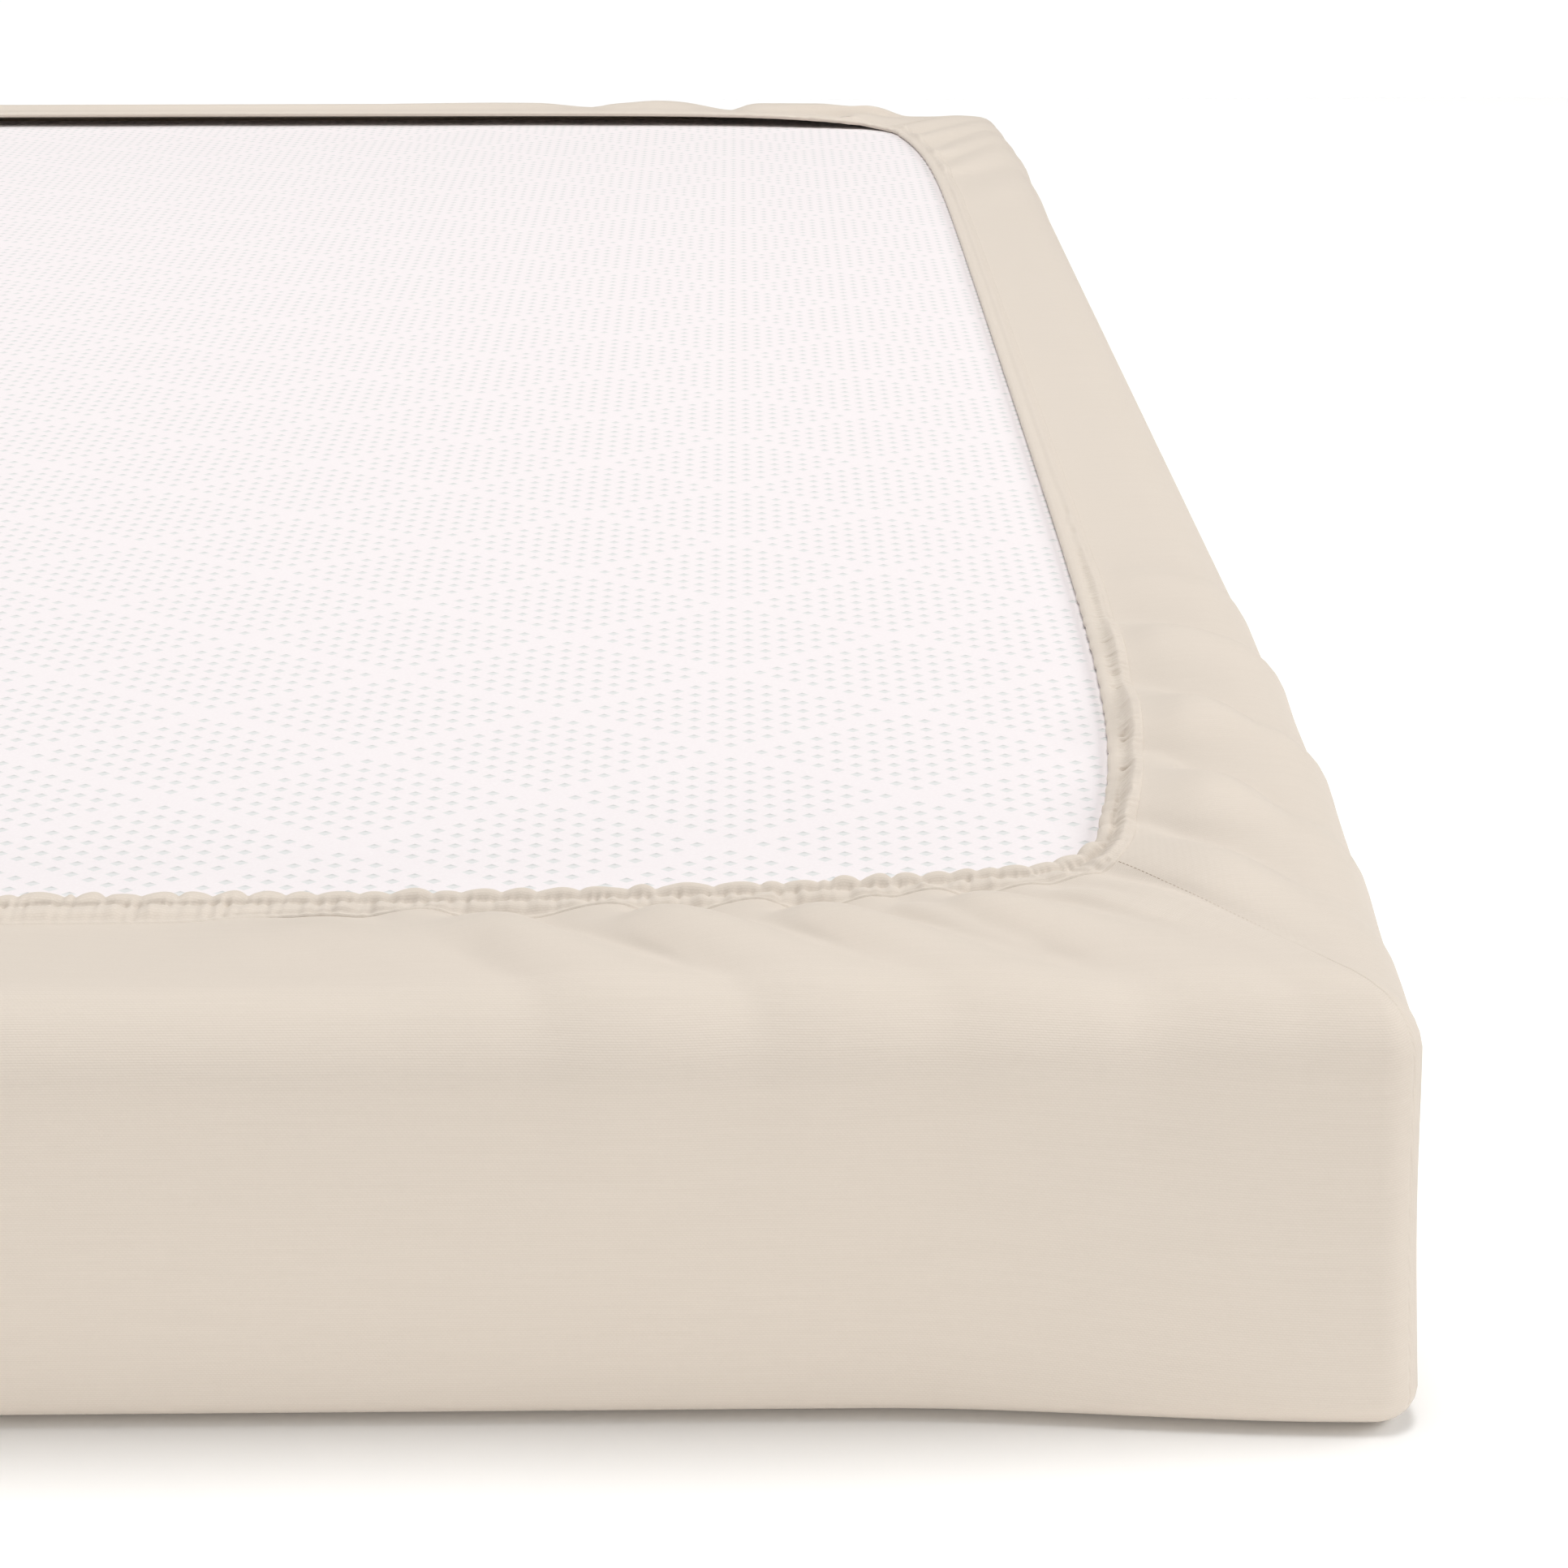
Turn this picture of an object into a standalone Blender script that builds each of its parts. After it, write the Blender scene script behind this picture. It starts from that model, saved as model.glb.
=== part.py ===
"""Fitted sheet on a mattress that lies face down, so the hem and its opening are on top.

Metres, +Z up, X across the mattress, Y along it, origin under its middle on the floor.
"""
import math

import bmesh
import bpy
import numpy as np

for leftover in list(bpy.data.objects):
    bpy.data.objects.remove(leftover, do_unlink=True)

# ---- driving sizes ----------------------------------------------------------------
EDGE_X, EDGE_Y = 0.7030, 1.0000    # half sizes of the sheet at the corners of its top edges
TOP = 0.177                        # height of the flap's outer face at those edges
CLOTH = 0.0020                     # thickness of the sheet
EDGE_ROUND = 0.030                 # rounding where the side folds over onto the flap
FOOT_ROUND = 0.014                 # rounding where the side meets the floor
CORNER_R = 0.018                   # corner radius of the sheet seen from above
TIGHT_R = 0.005                    # smallest corner radius of a line further in
FLARE_X = 0.0062                   # the foot stands out past the top edge by this much
FLARE_Y, FLARE_CORNER = 0.0010, 0.0125     # ... and at the ends, more so at the corners
FLARE_END = 0.20
BOW, BOW_END = 0.0080, 0.26        # the top edges bow out between corners, within this length
SIDE_BULGE = 0.0012                # belly of the side half way up

HEM_X = 0.622                      # half sizes of the opening inside the hem
HEM_Y_NEAR, HEM_Y_FAR = 0.8965, 0.943
HEM_R = 0.070                      # corner radius of the opening
HEM_DRAW, HEM_DRAW_END = 0.024, 0.11       # the hem is drawn in towards its corners
HEM_WIDTH = 0.0168                 # width of the gathered elastic hem
HEM_NEAR = 0.0245                  # ... and at the near end, where it lies flatter
LIFT = 0.0086                      # the far end's hem stands this far off the mattress
EDGE_LIFT = 0.0140                 # ... and the top edge behind it this far
LIFT_START, LIFT_FADE = 0.612, 0.070       # where across the far end the lift begins and grows

MATTRESS_TOP = 0.1742
REST_GAP = 0.0004                  # air between faces that lie on each other
SIDE_GAP = 0.0020                  # air between the mattress and the sheet round its edges

# The hem's cross-section from its inner lip outwards: (outwards, up), from the lip's foot
HEM_PROFILE = ((0.0014, 0.0), (0.0, 0.0022), (0.0028, 0.0050), (0.0068, 0.0034),
               (0.0108, 0.0046), (HEM_WIDTH, 0.0031))
LIP_STEPS = 3                      # how many of those belong to the inner lip
HEM_UNDER = 0.0148                 # where the hem's flat underside ends, outwards from its lip
SCALLOP_OUT, SCALLOP_UP = 0.0014, 0.0007   # ruffle of the gathered hem at the corners
FOLD_AT_HEM = 0.6                  # share of a fold's height that the hem follows

# Folds of the flap at a corner, a row each, measured in from the corner of the top edges:
# (hem end across, along, edge end across, along, height, half width); a trough is negative
NEAR_FOLDS = (
    (0.068, 0.420, 0.006, 0.305, 0.0060, 0.020),
    (0.072, 0.325, 0.010, 0.185, 0.0095, 0.020),
    (0.078, 0.240, 0.012, 0.090, 0.0100, 0.019),
    (0.090, 0.158, 0.022, 0.050, 0.0090, 0.017),
    (0.115, 0.112, 0.032, 0.024, 0.0070, 0.014),
    (0.138, 0.098, 0.076, 0.058, 0.0065, 0.012),
    (0.178, 0.084, 0.074, 0.040, 0.0095, 0.015),
    (0.247, 0.072, 0.144, 0.024, 0.0100, 0.016),
    (0.304, 0.070, 0.200, 0.020, 0.0105, 0.017),
    (0.376, 0.071, 0.274, 0.018, 0.0095, 0.017),
    (0.440, 0.074, 0.342, 0.034, 0.0045, 0.020),
)
FAR_FOLDS = (
    (0.067, 0.310, 0.013, 0.200, 0.0045, 0.018),
    (0.072, 0.236, 0.013, 0.134, 0.0060, 0.016),
    (0.088, 0.162, 0.023, 0.080, 0.0065, 0.015),
    (0.113, 0.120, 0.048, 0.045, 0.0060, 0.014),
    (0.158, 0.092, 0.125, 0.022, 0.0060, 0.015),
    (0.257, 0.074, 0.258, 0.010, -0.0050, 0.016),
    (0.336, 0.072, 0.334, 0.010, 0.0025, 0.026),
    (0.389, 0.072, 0.390, 0.010, -0.0032, 0.016),
)
# Each corner: (side in X, side in Y, its folds, how far they reach, their strength)
CORNERS = (
    (1, -1, NEAR_FOLDS, 1.00, 1.00),
    (1, 1, FAR_FOLDS, 1.00, 1.00),
    (-1, 1, NEAR_FOLDS, 0.93, 0.85),
    (-1, -1, FAR_FOLDS, 1.05, 1.10),
)
FOLD_TAIL = 0.32                   # a fold's height at the top edge, as a share of its highest
FOLD_PUSH = 0.30                   # how much of it pushes the rounded edge outwards
SKEW_X, SKEW_Y = 0.30, 0.25        # folds start to lean towards the corner over this length
LEAN_FROM_Y = 0.45

FINE_STEP, COARSE_STEP = 0.0155, 0.110     # spacing of the columns by the corners and between
GATHERED = 0.44                    # length along each side, from the corner, that has folds
ARC_STEPS = 6
DIAGONAL = math.sqrt(0.5)


def ease(value):
    """Smooth step from 0 to 1."""
    value = np.clip(value, 0.0, 1.0)
    return value * value * (3.0 - 2.0 * value)


def positions(straight, half):
    """Places along half a side's hem, from its middle to where the corner's arc starts."""
    fine_from = half - GATHERED
    coarse = np.linspace(0.0, fine_from, round(fine_from / COARSE_STEP), endpoint=False)
    fine = np.linspace(fine_from, straight, round((straight - fine_from) / FINE_STEP),
                       endpoint=False)
    return np.concatenate((coarse, fine))


def quarter():
    """Columns from the middle of a short side, round a corner, to that of a long side.

    Each is: share of the hem's straight in x and y, of the edge's in x and y, and the turn.
    """
    columns = []
    hem, edge = HEM_X - HEM_R, EDGE_X - CORNER_R
    for x in positions(hem, EDGE_X):
        moved = x + (edge - hem) * ease(x / SKEW_X)
        columns.append((x / hem, 1.0, moved / edge, 1.0, 0.0))
    for turn in np.linspace(0.0, math.pi / 2.0, ARC_STEPS + 1):
        columns.append((1.0, 1.0, 1.0, 1.0, turn))
    hem, edge = HEM_Y_NEAR - HEM_R, EDGE_Y - CORNER_R
    for y in positions(hem, EDGE_Y)[::-1]:
        moved = y + (edge - hem) * ease((y - LEAN_FROM_Y) / SKEW_Y)
        columns.append((1.0, y / hem, 1.0, moved / edge, math.pi / 2.0))
    return np.array(columns)


def all_columns():
    """The quarter's columns mirrored all the way round, with each one's side in X and Y."""
    corner = quarter()
    parts = []
    for sx, sy, backwards in ((1, -1, False), (1, 1, True), (-1, 1, False), (-1, -1, True)):
        part = np.column_stack((corner, np.tile((sx, sy), (len(corner), 1))))
        parts.append((part[::-1] if backwards else part)[:-1])
    return np.concatenate(parts)


COLUMNS = all_columns()
HEM_SHARE, EDGE_SHARE, TURN, SIDES = (COLUMNS[:, :2], COLUMNS[:, 2:4], COLUMNS[:, 4],
                                      COLUMNS[:, 5:7])
OUT = SIDES * np.column_stack((np.sin(TURN), np.cos(TURN)))
FAR = SIDES[:, 1] > 0.0
FROM_CORNER = (1.0 - EDGE_SHARE) @ np.array((EDGE_X, EDGE_Y))


def outline(half_x, half_y, radius, share, push=0.0):
    """A rounded rectangle's point at each column, then moved outwards by push."""
    straight = np.column_stack(np.broadcast_arrays(half_x - radius, half_y - radius, TURN))
    corner = radius * np.column_stack((np.sin(TURN), np.cos(TURN)))
    return SIDES * (straight[:, :2] * share + corner) + OUT * np.reshape(push, (-1, 1))


def edge_line(inset, extra=0.0):
    """The top edge's line, inset from its outermost one."""
    radius = max(CORNER_R - inset, TIGHT_R)
    bow = BOW * ease(FROM_CORNER / BOW_END)
    return outline(EDGE_X - inset, EDGE_Y - inset, radius, EDGE_SHARE, bow + extra)


def foot_line(inset):
    """The foot's line, inset from its outermost one."""
    radius = max(CORNER_R - inset, TIGHT_R)
    at_corner = 1.0 - ease(FROM_CORNER / FLARE_END)
    flare_y = FLARE_Y + FLARE_CORNER * at_corner
    return outline(EDGE_X + FLARE_X - inset, EDGE_Y + flare_y - inset, radius, EDGE_SHARE)


def hem_line():
    """The hem's inner edge, round the opening."""
    half_y = np.where(FAR, HEM_Y_FAR, HEM_Y_NEAR)
    away = (1.0 - HEM_SHARE) @ np.array((HEM_X, HEM_Y_NEAR))
    return outline(HEM_X, half_y, HEM_R, HEM_SHARE, -HEM_DRAW * np.exp(-away / HEM_DRAW_END))


def fold_height(points):
    """Height of the flap's folds over plan points, all four corners together."""
    ridge = np.zeros(len(points))
    trough = np.zeros(len(points))
    for sx, sy, folds, reach, strength in CORNERS:
        place = np.array((EDGE_X, EDGE_Y)) - np.array((sx, sy)) * points
        for *ends, height, half_width in folds:
            start, end = np.reshape(ends, (2, 2)) * reach
            run = end - start
            part = np.clip((place - start) @ run / (run @ run), -0.15, 1.0)
            off = np.linalg.norm(place - start - part[:, None] * run, axis=1)
            fade = 1.0 - (1.0 - FOLD_TAIL) * np.clip(part, 0.0, 1.0)
            if height < 0.0:
                fade = 1.0
            rise = height * strength * fade * np.exp(-(off / half_width) ** 2)
            ridge = np.maximum(ridge, rise)
            trough = np.minimum(trough, rise)
    return ridge + trough


def far_lift(points, height):
    """Lift of the far end's cloth, which stands off the mattress between its corners."""
    across = ease((LIFT_START - np.abs(points[:, 0])) / LIFT_FADE)
    return height * across * ease((points[:, 1] - HEM_Y_NEAR) / (HEM_Y_FAR - HEM_Y_NEAR))


def ring(points, height):
    """One closed ring of vertices from plan points and their height."""
    return np.column_stack((points, np.broadcast_to(height, len(points))))


def hem_rings():
    """The hem's rings from its lip outwards, and the ring that ends its underside."""
    lip = hem_line()
    wider = np.where(FAR, 0.0, HEM_NEAR / HEM_WIDTH - 1.0)
    stretch = 1.0 + wider * (1.0 - ease((TURN - 0.5) / 0.9))
    base = MATTRESS_TOP + REST_GAP + far_lift(lip, LIFT)
    from_corner = np.abs(np.abs(lip) - np.array((HEM_X, HEM_Y_NEAR))).sum(axis=1)
    zigzag = np.where(np.arange(len(lip)) % 2, 1.0, -1.0)
    ruffle = zigzag * ease((GATHERED - from_corner) / 0.25)
    rings = []
    for step, (outwards, up) in enumerate(HEM_PROFILE):
        swing = SCALLOP_OUT if step < LIP_STEPS else -0.6 * SCALLOP_OUT
        points = lip + OUT * (outwards * stretch + swing * ruffle)[:, None]
        rise = FOLD_AT_HEM * np.maximum(fold_height(points), 0.0) * outwards / HEM_WIDTH
        wave = SCALLOP_UP * ruffle * (up > 0.0)
        rings.append(ring(points, base + up + wave + rise))
    points = lip + OUT * (HEM_UNDER * stretch)[:, None]
    below = ring(points, base + 0.6 * FOLD_AT_HEM * np.maximum(fold_height(points), 0.0))
    return rings, below


def flap_rings(start):
    """The flap's outer rings from the hem's foot to where the rounded edge begins."""
    end = edge_line(EDGE_ROUND)
    flap = []
    for share in (0.25, 0.5, 0.75, 1.0):
        points = start[:, :2] * (1.0 - share) + end * share
        at_hem = start[:, 2] - FOLD_AT_HEM * np.maximum(fold_height(start[:, :2]), 0.0)
        at_edge = TOP + far_lift(end, EDGE_LIFT)
        level = at_hem * (1.0 - share) + at_edge * share + fold_height(points)
        flap.append(ring(points, np.maximum(level, MATTRESS_TOP + REST_GAP + CLOTH)))
    return flap


def side_rings(inset):
    """Rings of the rounded edge, the side and the foot, inset from the outer face."""
    top = TOP + far_lift(edge_line(0.0), EDGE_LIFT)
    push = FOLD_PUSH * np.maximum(fold_height(edge_line(EDGE_ROUND)), 0.0)
    big, small = EDGE_ROUND - inset, FOOT_ROUND - inset
    belly = (edge_line(inset) + foot_line(inset)) / 2.0 + OUT * SIDE_BULGE
    return [
        ring(edge_line(EDGE_ROUND - big * DIAGONAL, push * DIAGONAL),
             top - EDGE_ROUND + (big + push) * DIAGONAL),
        ring(edge_line(inset, push), top - EDGE_ROUND),
        ring(belly, TOP / 2.0),
        ring(foot_line(inset), FOOT_ROUND),
        ring(foot_line(FOOT_ROUND - small * DIAGONAL), FOOT_ROUND - small * DIAGONAL),
        ring(foot_line(FOOT_ROUND), inset),
    ]


def sheet_rings():
    """The sheet's rings: out from under the mattress, over the hem and back inside."""
    hem, below_hem = hem_rings()
    flap = flap_rings(hem[-1])
    under_flap = [part - np.array((0.0, 0.0, CLOTH)) for part in flap]
    outer = hem + flap + side_rings(0.0)
    return outer[::-1] + [below_hem] + under_flap + side_rings(CLOTH)


def mattress_rings():
    """The mattress's rings, from its lower face to its upper one, inside the sheet."""
    gap = CLOTH + SIDE_GAP
    low = CLOTH + REST_GAP
    big, small = EDGE_ROUND - CLOTH, FOOT_ROUND - CLOTH
    return [
        ring(foot_line(gap + small), low),
        ring(foot_line(gap + small * (1.0 - DIAGONAL)), low + small * (1.0 - DIAGONAL)),
        ring(foot_line(gap), low + small),
        ring(edge_line(gap), MATTRESS_TOP - big),
        ring(edge_line(gap + big * (1.0 - DIAGONAL)), MATTRESS_TOP - big * (1.0 - DIAGONAL)),
        ring(edge_line(gap + big), MATTRESS_TOP),
    ]


def solid(name, rings, colour, roughness):
    """A closed solid: rings bridged one to the next, the first and last filled flat."""
    mesh = bpy.data.meshes.new(name)
    build = bmesh.new()
    loops = [[build.verts.new(point) for point in part] for part in rings]
    count = len(loops[0])
    for low, high in zip(loops, loops[1:]):
        for i in range(count):
            j = (i + 1) % count
            build.faces.new((low[i], low[j], high[j], high[i]))
    build.faces.new(loops[0][::-1])
    build.faces.new(loops[-1])
    bmesh.ops.recalc_face_normals(build, faces=build.faces)
    build.to_mesh(mesh)
    build.free()
    thing = bpy.data.objects.new(name, mesh)
    bpy.context.scene.collection.objects.link(thing)
    finish = bpy.data.materials.new(name)
    finish.use_nodes = True
    shader = finish.node_tree.nodes["Principled BSDF"]
    shader.inputs["Base Color"].default_value = (*colour, 1.0)
    shader.inputs["Roughness"].default_value = roughness
    shader.inputs["Metallic"].default_value = 0.0
    mesh.materials.append(finish)
    return thing


solid("fitted_sheet", sheet_rings(), (0.76, 0.68, 0.58), 0.9)
solid("mattress", mattress_rings(), (0.92, 0.89, 0.89), 0.8)
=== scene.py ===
"""Looks of a jersey fitted sheet on a mattress that lies face down, its gathered hem on top.

Metres, +Z up, X across the mattress, Y along it, origin under its middle on the floor.
"""
import math

import bmesh
import bpy
import numpy as np
from mathutils import Euler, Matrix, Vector


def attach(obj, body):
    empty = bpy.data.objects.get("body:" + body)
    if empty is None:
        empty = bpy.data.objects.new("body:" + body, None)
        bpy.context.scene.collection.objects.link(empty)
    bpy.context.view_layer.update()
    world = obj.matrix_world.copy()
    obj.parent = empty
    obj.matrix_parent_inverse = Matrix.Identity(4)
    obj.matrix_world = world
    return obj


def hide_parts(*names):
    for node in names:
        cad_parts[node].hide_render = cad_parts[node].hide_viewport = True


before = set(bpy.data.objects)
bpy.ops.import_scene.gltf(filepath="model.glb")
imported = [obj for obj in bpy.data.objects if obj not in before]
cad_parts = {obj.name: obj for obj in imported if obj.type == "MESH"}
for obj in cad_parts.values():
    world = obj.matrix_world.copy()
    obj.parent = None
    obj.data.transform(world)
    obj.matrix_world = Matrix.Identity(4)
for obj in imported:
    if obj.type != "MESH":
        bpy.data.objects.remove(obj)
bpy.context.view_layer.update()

# ---- sizes of the sheet and the mattress: the solids', but for a lower EDGE_LIFT ---------
EDGE_X, EDGE_Y, TOP = 0.7030, 1.0000, 0.177   # half sizes at the top edges, and height
CLOTH = 0.0020
EDGE_ROUND, FOOT_ROUND = 0.030, 0.014
CORNER_R, TIGHT_R = 0.018, 0.005
FLARE_X, FLARE_Y, FLARE_CORNER, FLARE_END = 0.0062, 0.0010, 0.0125, 0.20
BOW, BOW_END = 0.0080, 0.26
SIDE_BULGE = 0.0012
HEM_X, HEM_Y_NEAR, HEM_Y_FAR, HEM_R = 0.622, 0.8965, 0.943, 0.070
HEM_DRAW, HEM_DRAW_END = 0.024, 0.11
HEM_NEAR, HEM_WIDTH = 0.0245, 0.0168      # width of the hem at the near end, and elsewhere
LIFT, EDGE_LIFT, LIFT_START, LIFT_FADE = 0.0086, 0.0120, 0.612, 0.070
MATTRESS_TOP, REST_GAP, SIDE_GAP = 0.1742, 0.0004, 0.0020
SKEW_X, SKEW_Y, LEAN_FROM_Y = 0.30, 0.25, 0.45
SEAM_AT = math.pi / 4.0            # a corner seam's place in the corner's turn
MM = 0.001

# ---- folds of the flap, a row each: crest points (x, y, height in mm), then how far its far
# side and its near side reach, in mm, at the hem and at the edge -------------------------
NEAR_RIGHT = (
    (((.262, -.925, 2.5), (.290, -.930, 5.5), (.322, -.944, 5.0), (.362, -.966, 2.0)),
     (14, 20), (26, 32)),
    (((.326, -.929, 5.5), (.355, -.937, 12.0), (.372, -.950, 12.0), (.398, -.967, 8.5),
      (.430, -.983, 3.5)), (13, 20), (25, 32)),
    (((.398, -.930, 6.0), (.416, -.932, 13.0), (.437, -.942, 13.5), (.468, -.961, 9.5),
      (.505, -.981, 4.0)), (13, 20), (26, 34)),
    (((.455, -.928, 6.0), (.478, -.931, 13.0), (.500, -.942, 13.0), (.528, -.958, 8.5),
      (.560, -.977, 3.5)), (12, 19), (24, 32)),
    (((.501, -.922, 4.5), (.513, -.921, 8.5), (.528, -.930, 7.5), (.552, -.948, 3.5)),
     (10, 15), (15, 20)),
    (((.524, -.917, 5.5), (.537, -.917, 11.0), (.553, -.922, 12.0), (.587, -.937, 8.0),
      (.630, -.962, 3.2)), (12, 18), (20, 28)),
    (((.566, -.903, 4.5), (.580, -.907, 8.0), (.600, -.918, 7.5), (.628, -.940, 4.0)),
     (10, 15), (16, 22)),
    (((.588, -.889, 5.0), (.612, -.911, 8.0), (.643, -.948, 5.5), (.672, -.978, 2.5)),
     (12, 17), (22, 26)),
    (((.611, -.840, 6.5), (.620, -.860, 10.5), (.643, -.885, 12.5), (.663, -.917, 6.0),
      (.680, -.950, 1.2)), (14, 24), (40, 36)),
    (((.623, -.758, 6.5), (.632, -.788, 12.5), (.653, -.810, 15.5), (.671, -.854, 5.0),
      (.690, -.912, 1.0)), (15, 25), (58, 50)),
    (((.630, -.672, 6.0), (.641, -.693, 12.0), (.660, -.712, 14.5), (.678, -.750, 4.5),
      (.693, -.820, 1.0)), (16, 26), (62, 58)),
    (((.634, -.576, 4.5), (.654, -.589, 9.5), (.673, -.606, 9.0), (.689, -.642, 4.5),
      (.699, -.700, 1.6)), (18, 28), (60, 58)),
    (((.638, -.482, 2.0), (.656, -.492, 4.0), (.676, -.512, 3.6), (.694, -.550, 1.8)),
     (24, 34), (50, 50)),
)
FAR_RIGHT = (
    (((.640, .560, 1.5), (.665, .590, 2.0), (.694, .640, 2.0)), (30, 40), (30, 40)),
    (((.636, .690, 4.5), (.660, .730, 4.5), (.690, .800, 3.0)), (18, 26), (22, 30)),
    (((.632, .765, 6.0), (.655, .800, 5.0), (.690, .865, 3.5)), (14, 22), (20, 28)),
    (((.615, .838, 6.5), (.640, .868, 5.5), (.680, .920, 3.0)), (13, 20), (18, 24)),
    (((.590, .880, 6.0), (.618, .912, 5.0), (.655, .955, 2.5)), (12, 18), (16, 22)),
    (((.545, .908, 6.0), (.560, .940, 5.0), (.578, .978, 3.0)), (14, 18), (16, 20)),
    (((.545, .926, -0.5), (.548, .955, -1.5), (.552, .990, -2.5)), (26, 30), (26, 30)),
    (((.438, .926, -0.5), (.438, .953, -3.0), (.437, .974, -7.0), (.437, .996, -8.0)),
     (26, 28), (42, 46)),
    (((.366, .928, 2.0), (.368, .955, 2.5), (.369, .990, 3.0)), (30, 34), (30, 34)),
    (((.307, .926, -0.5), (.306, .953, -1.5), (.305, .974, -3.6), (.305, .996, -4.2)),
     (24, 26), (50, 56)),
    (((.205, .928, 0.8), (.205, .955, 0.9), (.205, .990, 1.0)), (70, 75), (60, 65)),
)
# Each corner's (side in X, side in Y, table, reach along the sides, strength). The two left
# corners repeat the two right ones, turned half round.
CORNERS = (
    (1, 1, NEAR_RIGHT, 1.00, 1.00), (1, 1, FAR_RIGHT, 1.00, 1.00),
    (-1, -1, NEAR_RIGHT, 0.93, 0.88), (-1, -1, FAR_RIGHT, 1.05, 1.10),
)
UNDER_HEM = 0.018                  # length that each crest runs on inwards under the hem
FOLD_SOFT = 0.0018                 # rounding where folds meet each other and the flat cloth
FOLD_GRID = (0.76, 1.06, 0.0025)   # half sizes and step of the grid that holds the folds
EDGE_PUSH = 0.30                   # share of a fold's height that pushes the side outwards
PUSH_FADE = 0.070                  # ... fading away down the side over this length
FOLD_REACH = 0.09                  # margin round a crest beyond which it lifts nothing
CREST_BLEND = 0.004                # rounding where a crest's straight runs meet
CREST_STEPS = 9                    # runs between each pair of crest points
DOME_END = 1.9                     # half widths at which a dome's cosine is cut off
# Each row and column of the grid is mixed with those beside it: (rows aside, share)
SOFTEN = ((-2, 0.06), (-1, 0.24), (0, 0.40), (1, 0.24), (2, 0.06))

# ---- notches and pits of the gathered hem, in mm --------------------------------------
# Notches between the ruffles of its inner lip, round the near right corner: distance along
# the hem from the corner's seam, towards the front's middle
NOTCHES = (13, 24, 36, 45, 56, 68, 80, 93, 105, 110, 124, 133, 152, 175, 186, 205, 222, 236,
           252, 263, 280, 292, 309, 321, 336, 350, 363, 378, 392, 404)
# Pits of the pucker line up the right side: distance from the seam, depth and radius
PITS = ((58, 1.0, 2.4), (84, 1.0, 2.2), (98, 1.5, 3.4), (133, 1.2, 2.6), (140, 1.6, 3.0),
        (171, 0.8, 2.0), (205, 0.7, 1.8), (226, 1.1, 2.2), (247, 0.6, 1.8), (268, 0.5, 1.6))


def ease(value):
    """Smooth step from 0 to 1."""
    value = np.clip(value, 0.0, 1.0)
    return value * value * (3.0 - 2.0 * value)


def either(one, other, soft):
    """The larger of two heights, with the change between them rounded off."""
    gap = np.clip(0.5 + 0.5 * (one - other) / soft, 0.0, 1.0)
    return other + (one - other) * gap + soft * gap * (1.0 - gap)


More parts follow.
